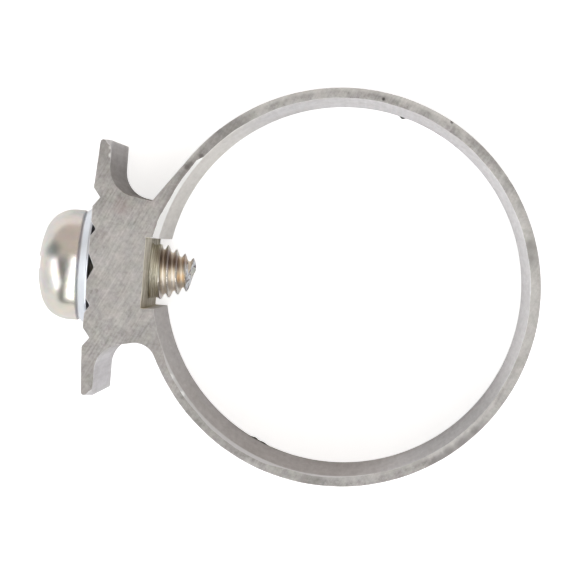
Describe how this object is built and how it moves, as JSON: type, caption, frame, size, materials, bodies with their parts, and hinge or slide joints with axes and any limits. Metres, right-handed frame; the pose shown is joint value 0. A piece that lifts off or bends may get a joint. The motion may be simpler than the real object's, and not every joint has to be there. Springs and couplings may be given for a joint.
{
  "type": "sign post ring clip",
  "caption": "Closed aluminium ring with a grooved head block and two hook flanges, and a pan head screw with washer that clamps a round sign post.",
  "frame": {"origin": "on the ring's axis, in the plane of the lower saw-cut end", "axes": "+Z along the ring's axis, which is the post's; -X from the ring towards the screw head and the sign; +Y towards one hook flange"},
  "size_m": [0.0721, 0.056, 0.025],
  "materials": {
    "clip_extrusion": "mill finish extrusion, saw-cut ends",
    "clamp_screw": "zinc plated, faint yellow passivate",
    "flat_washer": "bright zinc plated, blue passivate"
  },
  "bodies": {
    "clip": {"clip_extrusion": "clip_extrusion"},
    "washer": {"flat_washer": "flat_washer"},
    "screw": {"clamp_screw": "clamp_screw"}
  },
  "joints": [
    {"name": "screw_advance", "type": "slide", "parent": "clip", "child": "washer", "axis": [-1, 0, 0], "range_m": [-0.00035, 0.00625]},
    {"name": "screw_turn", "type": "hinge", "parent": "washer", "child": "screw", "pos_m": [-0.03775, 0, 0.0125], "axis": [-1, 0, 0], "range_deg": [-100, 1800]}
  ],
  "couplings": [
    {"joint": "screw_advance", "follows": "screw_turn", "m_per_rad": 0.00019894}
  ]
}
